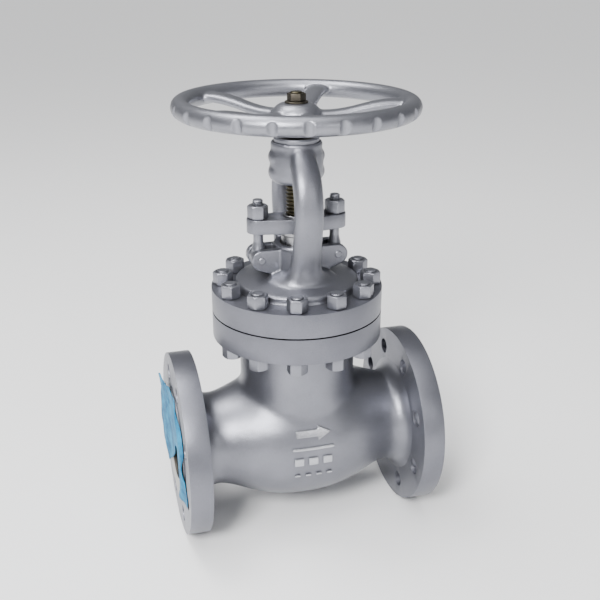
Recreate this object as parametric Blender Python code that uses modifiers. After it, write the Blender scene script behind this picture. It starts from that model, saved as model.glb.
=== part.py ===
"""Flanged cast-steel globe valve, NPS 4 (DN 100) Class 300, bolted bonnet, outside screw and yoke.

The origin is where the pipe axis (X, inlet at -X) crosses the stem axis (Z). The valve is closed:
the disc is down on its seat. All the dimensions below are in millimetres.
"""
import math

import bmesh
import bpy
from mathutils import Matrix, Vector

MM = 0.001
GAP = 0.3            # clearance between pieces that touch

# --- pipe ends ---------------------------------------------------------------------------------
FACE_TO_FACE = 356.0
FLANGE_R = 127.0
FLANGE_T = 32.0      # with the raised face
RAISED_R = 78.6
RAISED_H = 2.0
BORE_R = 50.0
PIPE_NECK_R = 64.5
PIPE_BOLTS = 8
PIPE_BOLT_PITCH_R = 100.0
PIPE_BOLT_HOLE_R = 11.0

# --- body ----------------------------------------------------------------------------------------
BELLY_R = 94.0
BELLY_HALF = 125.0   # from the stem axis to where the belly has run into the pipe neck
OUTLET_RISE = 6.0    # rise of the full shoulder on top of the outlet side
WALL = 14.0
NECK_R = 79.5        # upright neck under the bonnet
NECK_BORE_R = 66.0
BODY_TOP = 187.6
BODY_FLANGE_T = 34.4
BONNET_FLANGE_R = 115.7
DECK_TOP = 22.0      # wall that carries the seat
DECK_T = 14.0
SEAT_BORE_R = 56.3

# --- bonnet, stuffing box and yoke --------------------------------------------------------------
JOINT = 2.0          # space for the gasket
BONNET_T = 31.8
SPIGOT_H = 8.6
DOME_R = 83.0
DOME_STEP = 8.6      # wall of the dome above the bonnet flange
STUDS = 12
STUD_PITCH_R = 100.0
STUD_R = 8.0
STUD_CLEARANCE = 1.2
STUD_HOLE_R = STUD_R + STUD_CLEARANCE
STUD_OUT = 19.6      # from a flange to the end of its stud
NUT_AF = 24.0
NUT_H = 17.5
BOX_R = 31.0
BOX_BORE_R = 21.0
BOX_FLOOR = 236.0
BOX_TOP = 281.0
YOKE_BORE_R = 22.0
YOKE_TOP = 414.0
YOKE_BOTTOM = 363.0
YOKE_R = 36.0
ARM_HALF_W = 20.0
ARM_HALF_T = 12.5

# --- gland ---------------------------------------------------------------------------------------
EYE_X = 52.5
EYE_Z = 264.0
EYE_R = 12.0
EYE_HALF = 8.0
EYEBOLT_R = 7.0
EYEBOLT_TOP = 342.5
PIN_R = 5.0
EAR_INNER = 9.0
EAR_OUTER = 20.0
EAR_R = 13.5
GLAND_BAR_Z = 298.5
GLAND_BAR_T = 19.0
GLAND_BAR_END_R = 15.0
GLAND_BAR_MID_R = 25.0
PACKING_RINGS = 4
PACKING_H = 8.2

# --- stem, disc and handwheel --------------------------------------------------------------------
STEM_R = 14.0
STEM_FIT = 0.5       # radial clearance of the pieces round the stem
BACKSEAT_R = 19.0
BACKSEAT_TOP = 192.0
LIFT = 30.0
DISC_R = 56.0
DISC_BOTTOM = 28.3
STEM_FOOT = 36.0
STEM_TIP = 478.0
TIP_R = 8.0
SQUARE = 18.0
WHEEL_R = 158.0
WHEEL_Z = 460.8
RIM_R = 12.0
WHEEL_HUB_R = 30.0
WHEEL_HUB_BOTTOM = 424.3
WHEEL_HUB_TOP = 464.0
WHEEL_NUT_AF = 21.0
WHEEL_NUT_H = 10.0
SPOKES = 5
SPOKE_TURN = 62.0    # degrees from +X to the first spoke
NOTCHES = 24
NOTCH_TURN = 4.7


def purge():
    for ob in list(bpy.data.objects):
        bpy.data.objects.remove(ob, do_unlink=True)


def collection(name):
    col = bpy.data.collections.new(name)
    bpy.context.scene.collection.children.link(col)
    return col


purge()
PARTS = collection("globe_valve")
CUTTERS = collection("cutters")


def material(name, rgb, roughness, metallic):
    mat = bpy.data.materials.new(name)
    mat.use_nodes = True
    shader = mat.node_tree.nodes["Principled BSDF"]
    shader.inputs["Base Color"].default_value = (*rgb, 1.0)
    shader.inputs["Roughness"].default_value = roughness
    shader.inputs["Metallic"].default_value = metallic
    mat.diffuse_color = (*rgb, 1.0)
    return mat


CAST_PAINT = (0.42, 0.43, 0.45)
FASTENER_PAINT = (0.50, 0.51, 0.53)


def add(ob, mat=None, tool=False):
    """Links an object as a part with its own material, or as a tool that shapes a part."""
    (CUTTERS if tool else PARTS).objects.link(ob)
    if tool:
        ob.hide_render = True
        ob.display_type = "WIRE"
    if mat:
        rgb, roughness, metallic = mat
        ob.data.materials.append(material(ob.name, rgb, roughness, metallic))
    return ob


def from_bmesh(name, bm, mat=None, tool=False, smooth=True):
    mesh = bpy.data.meshes.new(name)
    bm.to_mesh(mesh)
    bm.free()
    if smooth:
        mesh.shade_smooth()
        mesh.set_sharp_from_angle(angle=math.radians(35))
    return add(bpy.data.objects.new(name, mesh), mat, tool)


def lathe(name, profile, steps, mat=None, tool=False, along_x=False, ring=False):
    """Turns (radius, height) points about Z, or about X. The points run down the outer side.
    A ring's outline is closed; any other starts and ends on the axis."""
    bm = bmesh.new()
    verts = [bm.verts.new((r * MM, 0.0, h * MM)) for r, h in profile]
    pairs = list(zip(verts, verts[1:]))
    if ring:
        pairs.append((verts[-1], verts[0]))
    for a, b in pairs:
        bm.edges.new((a, b))
    ob = from_bmesh(name, bm, mat, tool, smooth=False)
    screw = ob.modifiers.new("Turn", "SCREW")
    screw.angle = math.tau
    screw.steps = screw.render_steps = steps
    screw.use_merge_vertices = True
    screw.merge_threshold = 0.00001
    screw.use_smooth_shade = True
    if along_x:
        ob.rotation_euler = (0.0, math.pi / 2, 0.0)
    return ob


def boolean(target, tool, operation="DIFFERENCE"):
    mod = target.modifiers.new(tool.name, "BOOLEAN")
    mod.object = tool
    mod.operation = operation
    mod.solver = "EXACT"
    return mod


def rod_mesh(bm, radius, low, high, sides, axis="Z", at=(0.0, 0.0)):
    """Adds a closed cylinder. `at` is its place across the axis: (x, y), (y, z) or (x, z)."""
    spot = {
        "Z": Vector((at[0], at[1], (low + high) / 2)),
        "X": Vector(((low + high) / 2, at[0], at[1])),
        "Y": Vector((at[0], (low + high) / 2, at[1])),
    }[axis]
    turn = {
        "Z": Matrix.Identity(4),
        "X": Matrix.Rotation(math.pi / 2, 4, "Y"),
        "Y": Matrix.Rotation(math.pi / 2, 4, "X"),
    }[axis]
    bmesh.ops.create_cone(
        bm, cap_ends=True, segments=sides, radius1=radius * MM, radius2=radius * MM,
        depth=(high - low) * MM, matrix=Matrix.Translation(spot * MM) @ turn)


def rod(name, radius, low, high, sides, mat=None, tool=False, axis="Z", at=(0.0, 0.0)):
    bm = bmesh.new()
    rod_mesh(bm, radius, low, high, sides, axis, at)
    return from_bmesh(name, bm, mat, tool)


def plate(name, outline, y_low, y_high, tool=True):
    """A flat outline of (x, z) points, upright, between two y values."""
    curve = bpy.data.curves.new(name, "CURVE")
    curve.dimensions = "2D"
    curve.fill_mode = "BOTH"
    curve.extrude = (y_high - y_low) / 2 * MM
    spline = curve.splines.new("POLY")
    spline.points.add(len(outline) - 1)
    for point, (x, z) in zip(spline.points, outline):
        point.co = (x * MM, z * MM, 0.0, 1.0)
    spline.use_cyclic_u = True
    flat = bpy.data.objects.new(name + "_outline", curve)
    CUTTERS.objects.link(flat)
    flat.location = (0.0, (y_low + y_high) / 2 * MM, 0.0)
    flat.rotation_euler = (math.pi / 2, 0.0, 0.0)
    graph = bpy.context.evaluated_depsgraph_get()
    mesh = bpy.data.meshes.new_from_object(flat.evaluated_get(graph))
    bm = bmesh.new()
    bm.from_mesh(mesh)
    bmesh.ops.remove_doubles(bm, verts=bm.verts, dist=0.00001)
    bmesh.ops.recalc_face_normals(bm, faces=bm.faces)
    bm.to_mesh(mesh)
    bm.free()
    ob = add(bpy.data.objects.new(name, mesh), tool=tool)
    ob.matrix_world = flat.matrix_world.copy()
    bpy.data.objects.remove(flat, do_unlink=True)
    return ob


def loft(name, rings, tool=True):
    """Skins a row of rings that have as many points each, and closes both ends."""
    bm = bmesh.new()
    rows = [[bm.verts.new(Vector(p) * MM) for p in ring] for ring in rings]
    count = len(rows[0])
    for low, high in zip(rows, rows[1:]):
        for i in range(count):
            j = (i + 1) % count
            bm.faces.new((low[i], low[j], high[j], high[i]))
    bm.faces.new(rows[0])
    bm.faces.new(rows[-1])
    bmesh.ops.recalc_face_normals(bm, faces=bm.faces)
    return from_bmesh(name, bm, tool=tool)


def arc(cx, cz, radius, start, end, count):
    """Points of a circular arc, in degrees."""
    for i in range(count + 1):
        a = math.radians(start + (end - start) * i / count)
        yield cx + radius * math.cos(a), cz + radius * math.sin(a)


def on_circle(radius, degrees):
    return radius * math.cos(math.radians(degrees)), radius * math.sin(math.radians(degrees))


# --- body ----------------------------------------------------------------------------------------
def belly(peak, foot, count):
    """Radii of a belly that swells from `foot` to `peak`, from its +X end to the middle."""
    for i in range(count + 1):
        x = BELLY_HALF * (1 - i / count)
        t = x / BELLY_HALF
        yield foot + (peak - foot) * (1 - t ** 2.6) ** 1.9, x


def both_ways(half):
    """A profile from its +X half, mirrored about the middle."""
    half = list(half)
    return half + [(r, -x) for r, x in reversed(half[:-1])]


def build_body():
    end = FACE_TO_FACE / 2
    back = end - FLANGE_T
    half = [(0.0, end), (RAISED_R, end), (RAISED_R, end - RAISED_H), (FLANGE_R, end - RAISED_H),
            (FLANGE_R, back), (PIPE_NECK_R + 13, back), (PIPE_NECK_R + 6, back - 4),
            (PIPE_NECK_R + 1.5, back - 11)]
    body = lathe("body", both_ways(half + list(belly(BELLY_R, PIPE_NECK_R, 5))), 32,
                 (CAST_PAINT, 0.42, 0.55), along_x=True)
    # The top of the outlet side stays full for longer, as the flow comes down from the neck.
    shoulder = lathe("body_outlet_shoulder", [
        (0.0, 122.0), (62.0, 122.0), (66.0, 112.0), (70.5, 101.0), (75.5, 88.0), (81.0, 70.0),
        (85.0, 50.0), (0.0, 50.0)], 32, tool=True, along_x=True)
    shoulder.location.z = OUTLET_RISE * MM
    boolean(body, shoulder, "UNION")
    under = BODY_TOP - BODY_FLANGE_T
    neck = lathe("body_neck", [
        (0.0, BODY_TOP), (BONNET_FLANGE_R, BODY_TOP), (BONNET_FLANGE_R, under),
        (NECK_R + 6.5, under), (NECK_R + 1.5, under - 5), (NECK_R, under - 11),
        (NECK_R, 20.0), (0.0, 20.0)], 36, tool=True)
    boolean(body, neck, "UNION")

    inner = BELLY_R - WALL
    passage = lathe("body_passage", both_ways(
        [(0.0, end + 10), (BORE_R, end + 10)] + list(belly(inner, BORE_R, 4))),
        24, tool=True, along_x=True)
    boolean(body, passage)
    boolean(body, rod("body_neck_bore", NECK_BORE_R, 0.0, BODY_TOP + 10, 32, tool=True))

    # The S-shaped bridge: up at the inlet side, level under the seat, down at the outlet side.
    low, high = DECK_TOP - DECK_T, DECK_TOP
    outer, inner_x = NECK_BORE_R + 13.0, NECK_BORE_R + 1.0
    bridge = plate("body_bridge", [
        (-outer, low), (inner_x, low), (inner_x, -95.0), (outer, -95.0), (outer, high),
        (-inner_x, high), (-inner_x, 95.0), (-outer, 95.0)], -95.0, 95.0)
    core = lathe("body_core", both_ways(
        [(0.0, end - 20), (BORE_R + 6, end - 20)] + list(belly(inner + 6, BORE_R + 6, 4))),
        24, tool=True, along_x=True)
    boolean(bridge, core, "INTERSECT")
    boolean(body, bridge, "UNION")
    boolean(body, rod("body_seat_bore", SEAT_BORE_R, low - 20, high + 12, 32, tool=True))

    holes = bmesh.new()
    for side in (-1, 1):
        inside, outside = sorted((side * (back - 8), side * (end + 8)))
        for k in range(PIPE_BOLTS):
            y, z = on_circle(PIPE_BOLT_PITCH_R, (k + 0.5) * 360 / PIPE_BOLTS)
            rod_mesh(holes, PIPE_BOLT_HOLE_R, inside, outside, 10, "X", (y, z))
    boolean(body, from_bmesh("body_bolt_holes", holes, tool=True))
    return body


def stud_spots():
    for k in range(STUDS):
        yield k, on_circle(STUD_PITCH_R, (k + 0.5) * 360 / STUDS)


def stud_holes(name, low, high):
    bm = bmesh.new()
    for _, spot in stud_spots():
        rod_mesh(bm, STUD_HOLE_R, low, high, 8, "Z", spot)
    return from_bmesh(name, bm, tool=True)


# --- bonnet with its yoke ------------------------------------------------------------------------
def yoke_arm(name, side):
    """A lyre-shaped arm: off the dome, bowed out past the gland, and in to the yoke's hub."""
    path = [(40, 232, 6, 6), (44, 249, 1, 1), (50.5, 280, -0.5, 0), (58.5, 318, -1.2, 0),
            (58.5, 346, -1.2, 0), (49, 374, -0.5, 0.5), (28, 401, -5, -1)]
    rings = []
    for i, (y, z, wide, thick) in enumerate(path):
        y0, z0 = path[max(i - 1, 0)][:2]
        y1, z1 = path[min(i + 1, len(path) - 1)][:2]
        run = Vector((y1 - y0, z1 - z0)).normalized()
        across = Vector((run.y, -run.x))
        a, b = ARM_HALF_W + wide, ARM_HALF_T + thick
        ring = []
        for k in range(10):
            t = math.tau * (k + 0.5) / 10
            off = across * (b * math.sin(t))
            ring.append((a * math.cos(t), side * (y + off.x), z + off.y))
        rings.append(ring)
    return loft(name, rings)


def build_bonnet():
    base = BODY_TOP + JOINT
    top = base + BONNET_T
    bonnet = lathe("bonnet", [
        (0.0, BOX_TOP), (BOX_R, BOX_TOP), (BOX_R, 257.0), (BOX_R + 2, 250.0), (BOX_R + 8, 243.5),
        (BOX_R + 18, 239.5), (DOME_R - 20, 236.0), (DOME_R - 4, top + DOME_STEP + 2.5),
        (DOME_R, top + DOME_STEP), (DOME_R, top), (BONNET_FLANGE_R, top), (BONNET_FLANGE_R, base),
        (NECK_BORE_R - 0.6, base), (NECK_BORE_R - 0.6, base - SPIGOT_H), (0.0, base - SPIGOT_H)],
        36, (CAST_PAINT, 0.40, 0.55))
    hub = lathe("yoke_hub", [
        (0.0, YOKE_TOP), (YOKE_R - 5, YOKE_TOP), (YOKE_R - 3, YOKE_TOP - 2),
        (YOKE_R - 1.5, 404.0), (YOKE_R, 396.0), (YOKE_R - 0.5, 390.0), (YOKE_R - 2.3, 386.0),
        (YOKE_R - 0.2, 381.5), (YOKE_R, 376.0), (YOKE_R - 1.5, 369.0),
        (YOKE_R - 4, YOKE_BOTTOM), (0.0, YOKE_BOTTOM)], 24, tool=True)
    boolean(bonnet, hub, "UNION")
    for name, side in (("yoke_arm_front", -1), ("yoke_arm_back", 1)):
        boolean(bonnet, yoke_arm(name, side), "UNION")

    # Two pairs of ears for the eyebolts, off the side of the stuffing box.
    for side in (-1, 1):
        for row, (y0, y1) in enumerate(((-EAR_OUTER, -EAR_INNER), (EAR_INNER, EAR_OUTER))):
            rounded = list(arc(EYE_X, EYE_Z, EAR_R, -62, 85, 5))
            outline = [(18.0, 236.0)] + rounded + [(30.0, 279.0), (18.0, 279.0)]
            ear = plate(f"ear_{'left' if side < 0 else 'right'}_{row}",
                        [(side * x, z) for x, z in outline], y0, y1)
            boolean(bonnet, ear, "UNION")

    boolean(bonnet, lathe("box_bore", [
        (0.0, BOX_TOP + 15), (BOX_BORE_R, BOX_TOP + 15), (BOX_BORE_R, BOX_FLOOR),
        (BOX_BORE_R + 1.4, BOX_FLOOR), (BOX_BORE_R + 1.4, 222.0), (34.0, 222.0), (54.0, 195.0),
        (54.0, base - 20), (0.0, base - 20)], 20, tool=True))
    boolean(bonnet, rod("yoke_bore", YOKE_BORE_R, YOKE_BOTTOM - 20, YOKE_TOP + 12, 20, tool=True))
    boolean(bonnet, stud_holes("bonnet_stud_holes", base - 8, top + 8))
    pins = bmesh.new()
    for side in (-1, 1):
        rod_mesh(pins, PIN_R + GAP, -EAR_OUTER - 6, EAR_OUTER + 6, 12, "Y", (side * EYE_X, EYE_Z))
    boolean(bonnet, from_bmesh("pin_holes", pins, tool=True))
    return bonnet


# --- fasteners -----------------------------------------------------------------------------------
def hex_nut(name, at, low, height, hole_r, mat, sides=8, across_flats=NUT_AF):
    """A hexagon nut with its origin on its own axis."""
    x, y = at
    bm = bmesh.new()
    rod_mesh(bm, across_flats / math.sqrt(3), 0.0, height, 6)
    nut = from_bmesh(name, bm, mat, smooth=False)
    nut.location = (x * MM, y * MM, low * MM)
    bore = rod(name + "_bore", hole_r, -5.0, height + 5.0, sides, tool=True)
    bore.location = nut.location
    boolean(nut, bore)
    return nut


def build_studs():
    paint = (FASTENER_PAINT, 0.38, 0.6)
    under = BODY_TOP - BODY_FLANGE_T
    over = BODY_TOP + JOINT + BONNET_T
    for k, spot in stud_spots():
        tag = f"{k + 1:02d}"
        rod(f"bonnet_stud_{tag}", STUD_R, under - STUD_OUT, over + STUD_OUT, 8, paint, at=spot)
        hex_nut(f"bonnet_nut_top_{tag}", spot, over + GAP, NUT_H, STUD_R + GAP, paint)
        hex_nut(f"bonnet_nut_bottom_{tag}", spot, under - GAP - NUT_H, NUT_H, STUD_R + GAP, paint)


# --- stuffing box and gland ----------------------------------------------------------------------
def build_gland():
    fit_r = STEM_R + STEM_FIT
    lathe("backseat_bushing", [
        (fit_r, BOX_FLOOR - GAP), (BOX_BORE_R + 1.0, BOX_FLOOR - GAP),
        (BOX_BORE_R + 1.0, 222.0 - GAP), (27.0, 222.0 - GAP), (27.0, 219.0),
        (BACKSEAT_R + 0.3, 219.0), (fit_r, 223.5)], 24,
        ((0.34, 0.33, 0.31), 0.35, 1.0), ring=True)
    for k in range(PACKING_RINGS):
        low = BOX_FLOOR + GAP + k * (PACKING_H + GAP)
        lathe(f"packing_ring_{k + 1}", [
            (fit_r, low + PACKING_H), (BOX_BORE_R - GAP, low + PACKING_H),
            (BOX_BORE_R - GAP, low), (fit_r, low)], 20, ((0.05, 0.05, 0.055), 0.6, 0.0), ring=True)
    nose = BOX_FLOOR + GAP + PACKING_RINGS * (PACKING_H + GAP)
    bar_top = GLAND_BAR_Z + GLAND_BAR_T
    lathe("gland", [
        (fit_r, bar_top + 2), (17.2, bar_top + 2), (17.2, GLAND_BAR_Z - GAP),
        (24.0, GLAND_BAR_Z - GAP), (24.0, GLAND_BAR_Z - 5), (BOX_BORE_R - 0.5, GLAND_BAR_Z - 7),
        (BOX_BORE_R - 0.5, nose), (fit_r, nose)], 24, ((0.46, 0.46, 0.47), 0.38, 0.8), ring=True)

    # A rhombic bar: broad round the stem, narrow and rounded at both eyebolts.
    bm = bmesh.new()
    for x, radius in ((-EYE_X, GLAND_BAR_END_R), (0.0, GLAND_BAR_MID_R), (EYE_X, GLAND_BAR_END_R)):
        bmesh.ops.create_circle(bm, segments=24, radius=radius * MM,
                                matrix=Matrix.Translation((x * MM, 0.0, GLAND_BAR_Z * MM)))
    lift = bmesh.ops.duplicate(bm, geom=bm.verts[:])["geom"]
    bmesh.ops.translate(bm, verts=[g for g in lift if isinstance(g, bmesh.types.BMVert)],
                        vec=(0.0, 0.0, GLAND_BAR_T * MM))
    hull = bmesh.ops.convex_hull(bm, input=bm.verts[:])
    spare = {g for g in hull["geom_interior"] + hull["geom_unused"]
             if isinstance(g, bmesh.types.BMVert)}
    bmesh.ops.delete(bm, geom=list(spare), context="VERTS")
    bmesh.ops.dissolve_limit(bm, angle_limit=0.002, verts=bm.verts[:], edges=bm.edges[:])
    bmesh.ops.recalc_face_normals(bm, faces=bm.faces)
    bar = from_bmesh("gland_flange", bm, (CAST_PAINT, 0.40, 0.55))
    boolean(bar, rod("gland_flange_bore", 17.7, GLAND_BAR_Z - 8, bar_top + 8, 24, tool=True))
    ends = bmesh.new()
    for side in (-1, 1):
        rod_mesh(ends, EYEBOLT_R + 0.6, GLAND_BAR_Z - 8, bar_top + 8, 16, "Z", (side * EYE_X, 0.0))
    boolean(bar, from_bmesh("gland_flange_bolt_holes", ends, tool=True))

    for tag, side in (("left", -1), ("right", 1)):
        x = side * EYE_X
        bolt = rod(f"eyebolt_{tag}", EYE_R, -EYE_HALF, EYE_HALF, 20,
                   (FASTENER_PAINT, 0.36, 0.7), axis="Y", at=(x, EYE_Z))
        shank = rod(f"eyebolt_{tag}_shank", EYEBOLT_R, EYE_Z, EYEBOLT_TOP, 12, tool=True,
                    at=(x, 0.0))
        boolean(bolt, shank, "UNION")
        boolean(bolt, rod(f"eyebolt_{tag}_hole", PIN_R + GAP, -20.0, 20.0, 12, tool=True,
                          axis="Y", at=(x, EYE_Z)))
        rod(f"eyebolt_pin_{tag}", PIN_R, -EAR_OUTER - 1.5, EAR_OUTER + 1.5, 12,
            (FASTENER_PAINT, 0.36, 0.7), axis="Y", at=(x, EYE_Z))
        hex_nut(f"gland_nut_{tag}", (x, 0.0), bar_top + GAP, NUT_H, EYEBOLT_R + GAP,
                (FASTENER_PAINT, 0.36, 0.65), 12)


# --- trim ----------------------------------------------------------------------------------------
def build_trim():
    lathe("seat_ring", [
        (BORE_R, DECK_TOP + 6), (SEAT_BORE_R + 4, DECK_TOP + 6), (SEAT_BORE_R + 4, DECK_TOP + GAP),
        (SEAT_BORE_R - 0.4, DECK_TOP + GAP), (SEAT_BORE_R - 0.4, DECK_TOP - DECK_T + 1),
        (BORE_R, DECK_TOP - DECK_T + 1)], 32, ((0.55, 0.55, 0.55), 0.28, 1.0), ring=True)
    # The disc holds the stem's button in a pocket, under a screwed disc nut.
    floor = STEM_FOOT - 0.5
    top = DISC_BOTTOM + 34
    lathe("disc", [
        (0.0, floor), (18.0, floor), (18.0, STEM_FOOT + 8.7), (24.2, STEM_FOOT + 8.7),
        (24.2, top), (32.0, top), (32.0, DISC_BOTTOM + 14), (DISC_R - 3, DISC_BOTTOM + 12),
        (DISC_R, DISC_BOTTOM + 9), (DISC_R, DISC_BOTTOM), (0.0, DISC_BOTTOM)], 32,
        ((0.50, 0.50, 0.51), 0.30, 1.0))
    lathe("disc_nut", [
        (STEM_R + 0.6, 70.0), (22.0, 70.0), (23.8, 66.0), (23.8, STEM_FOOT + 9.0),
        (STEM_R + 0.6, STEM_FOOT + 9.0)], 24, ((0.42, 0.42, 0.43), 0.35, 1.0), ring=True)

    stem = lathe("stem", [
        (0.0, 425.5), (STEM_R, 425.5), (STEM_R, BACKSEAT_TOP), (BACKSEAT_R, BACKSEAT_TOP - 4),
        (BACKSEAT_R, BACKSEAT_TOP - 9), (STEM_R, BACKSEAT_TOP - 13), (STEM_R, STEM_FOOT + 8.4),
        (17.4, STEM_FOOT + 8.4), (17.4, STEM_FOOT), (0.0, STEM_FOOT)], 24,
        ((0.30, 0.28, 0.22), 0.38, 0.9))
    bm = bmesh.new()
    bmesh.ops.create_cube(bm, size=1.0, matrix=(
        Matrix.Translation((0.0, 0.0, (420.0 + WHEEL_HUB_TOP - 0.7) / 2 * MM))
        @ Matrix.Diagonal((SQUARE * MM, SQUARE * MM, (WHEEL_HUB_TOP - 0.7 - 420.0) * MM, 1.0))))
    boolean(stem, from_bmesh("stem_square", bm, tool=True, smooth=False), "UNION")
    boolean(stem, rod("stem_tip", TIP_R, 450.0, STEM_TIP, 16, tool=True), "UNION")

    lathe("yoke_nut", [
        (STEM_R + 0.4, YOKE_TOP + 8), (27.5, YOKE_TOP + 8), (29.5, YOKE_TOP + 6),
        (29.5, YOKE_TOP + GAP), (YOKE_BORE_R - 0.4, YOKE_TOP + GAP),
        (YOKE_BORE_R - 0.4, YOKE_BOTTOM + 5), (STEM_R + 0.4, YOKE_BOTTOM + 5)], 24,
        ((0.33, 0.30, 0.24), 0.40, 0.9), ring=True)
    lathe("bonnet_gasket", [
        (NECK_BORE_R + 1, BODY_TOP + JOINT - GAP), (STUD_PITCH_R - 12, BODY_TOP + JOINT - GAP),
        (STUD_PITCH_R - 12, BODY_TOP + GAP), (NECK_BORE_R + 1, BODY_TOP + GAP)], 32,
        ((0.03, 0.03, 0.03), 0.7, 0.1), ring=True)


# --- handwheel -----------------------------------------------------------------------------------
def spoke(name, degrees):
    """An S-shaped spoke: high at the rim, dished down to the hub."""
    path = [(18, 446.5, 10.5, 7.5), (32, 446.5, 9.5, 6.5), (55, 448.5, 9.5, 5.5),
            (80, 454, 10.5, 5.5), (104, 459.5, 12, 5.8), (126, 462, 14, 6.2),
            (WHEEL_R - RIM_R - 4, 461.5, 15.5, 6.5)]
    turn = Matrix.Rotation(math.radians(degrees), 3, "Z")
    rings = []
    for r, z, half_w, half_t in path:
        rings.append([turn @ Vector((r, half_w * math.cos(math.tau * (k + 0.5) / 8),
                                     z + half_t * math.sin(math.tau * (k + 0.5) / 8)))
                      for k in range(8)])
    return loft(name, rings)


def build_handwheel():
    centre_r = WHEEL_R - RIM_R
    wheel = lathe("handwheel", [
        (0.0, WHEEL_HUB_TOP), (19.0, WHEEL_HUB_TOP), (WHEEL_HUB_R - 3, WHEEL_HUB_TOP - 4),
        (WHEEL_HUB_R, WHEEL_HUB_TOP - 9), (WHEEL_HUB_R, 431.0), (WHEEL_HUB_R - 3, WHEEL_HUB_BOTTOM),
        (0.0, WHEEL_HUB_BOTTOM)], 24, ((0.50, 0.51, 0.54), 0.25, 0.7))
    for k in range(SPOKES):
        boolean(wheel, spoke(f"spoke_{k + 1}", SPOKE_TURN + k * 360 / SPOKES), "UNION")
    # The rim has finger notches round its outer lower side.
    bpy.ops.mesh.primitive_torus_add(
        major_segments=3 * NOTCHES, minor_segments=8, major_radius=centre_r * MM,
        minor_radius=RIM_R * MM, location=(0.0, 0.0, WHEEL_Z * MM),
        rotation=(0.0, 0.0, math.radians(NOTCH_TURN)))
    rim = bpy.context.object
    rim.name = "rim"
    for col in list(rim.users_collection):
        col.objects.unlink(rim)
    add(rim, tool=True)
    for vert in rim.data.vertices:
        r = math.hypot(vert.co.x, vert.co.y) / MM
        step = round(math.degrees(math.atan2(vert.co.y, vert.co.x)) * 3 * NOTCHES / 360)
        if step % 3 == 0 and r > centre_r and vert.co.z < 0.006:
            depth = 3.2 * (r - centre_r) / RIM_R
            vert.co.x *= (r - depth) / r
            vert.co.y *= (r - depth) / r
    boolean(wheel, rim, "UNION")
    bm = bmesh.new()
    bmesh.ops.create_cube(bm, size=1.0, matrix=(
        Matrix.Translation((0.0, 0.0, 440.0 * MM))
        @ Matrix.Diagonal(((SQUARE + 2 * GAP) * MM, (SQUARE + 2 * GAP) * MM, 60.0 * MM, 1.0))))
    boolean(wheel, from_bmesh("handwheel_square", bm, tool=True, smooth=False))
    # Room for the round end of the stem thread under the square.
    boolean(wheel, rod("handwheel_counterbore", STEM_R + STEM_FIT, 415.0, 427.0, 24, tool=True))

    lathe("handwheel_washer", [
        (TIP_R + 0.4, WHEEL_HUB_TOP + 2.3), (15.0, WHEEL_HUB_TOP + 2.3),
        (15.0, WHEEL_HUB_TOP + GAP), (TIP_R + 0.4, WHEEL_HUB_TOP + GAP)], 24,
        ((0.30, 0.29, 0.26), 0.45, 0.9), ring=True)
    hex_nut("handwheel_nut", (0.0, 0.0), WHEEL_HUB_TOP + 2.6, WHEEL_NUT_H, TIP_R + 0.4,
            ((0.20, 0.19, 0.13), 0.5, 0.8), 16, WHEEL_NUT_AF)


body = build_body()
boolean(body, stud_holes("body_stud_holes", BODY_TOP - BODY_FLANGE_T - 8, BODY_TOP + 8))
build_bonnet()
build_studs()
build_gland()
build_trim()
build_handwheel()
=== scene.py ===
import math

import bmesh
import bpy
from mathutils import Matrix, Vector, noise
from mathutils.bvhtree import BVHTree


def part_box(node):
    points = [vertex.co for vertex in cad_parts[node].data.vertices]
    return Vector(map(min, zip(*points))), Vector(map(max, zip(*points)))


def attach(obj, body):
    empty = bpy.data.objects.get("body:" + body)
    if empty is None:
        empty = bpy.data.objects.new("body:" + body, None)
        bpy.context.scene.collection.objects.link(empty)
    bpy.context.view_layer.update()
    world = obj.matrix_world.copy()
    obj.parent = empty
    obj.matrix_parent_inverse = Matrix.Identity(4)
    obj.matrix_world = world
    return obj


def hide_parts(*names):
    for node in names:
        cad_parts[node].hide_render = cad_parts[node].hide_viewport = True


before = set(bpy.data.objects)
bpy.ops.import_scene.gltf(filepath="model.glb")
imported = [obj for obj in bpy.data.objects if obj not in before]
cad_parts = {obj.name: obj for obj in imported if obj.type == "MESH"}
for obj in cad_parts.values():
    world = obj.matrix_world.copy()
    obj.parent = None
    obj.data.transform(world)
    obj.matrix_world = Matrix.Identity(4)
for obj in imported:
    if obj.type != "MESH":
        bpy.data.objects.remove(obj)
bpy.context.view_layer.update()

# Flanged globe valve. All the sizes below are in millimetres; the frame is in metres.
MM = 0.001
TAU = math.tau


def span(node, axis):
    """Lowest and highest value of a solid along one axis, in millimetres."""
    low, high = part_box(node)
    return low[axis] / MM, high[axis] / MM


FACE = span("body", 0)[1]
FLANGE_R = span("body", 1)[1]
FLANGE_T = 32.0
RAISED_R, RAISED_H = 78.6, 2.0
BORE_R = 50.0
PIPE_NECK_R = 64.5
PIPE_BOLT_PITCH_R, PIPE_BOLT_HOLE_R = 100.0, 11.0
BELLY_R, BELLY_HALF, OUTLET_SWELL, WALL = 94.0, 125.0, 17.0, 14.0
NECK_R, NECK_BORE_R = 79.5, 66.0
BRIDGE_LOW, BRIDGE_HIGH, BRIDGE_T, BRIDGE_REACH, SEAT_BORE_R = 8.0, 22.0, 12.0, 95.0, 56.3
BODY_TOP = span("body", 2)[1]
BODY_UNDER = BODY_TOP - 34.4
BONNET_BASE = BODY_TOP + 2.0
BONNET_TOP = BONNET_BASE + 31.8
JOINT_R = 115.7
STUD_PITCH_R, STUD_R, STUD_HOLE_R = 100.0, 8.0, 9.2
NUT_AF, NUT_H = 24.0, 17.5
DOME_R, DOME_STEP = 83.0, 8.6
BOX_R, BOX_BORE_R, BOX_TOP, BOX_FLOOR = 31.0, 21.0, 281.0, 236.0
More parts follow.
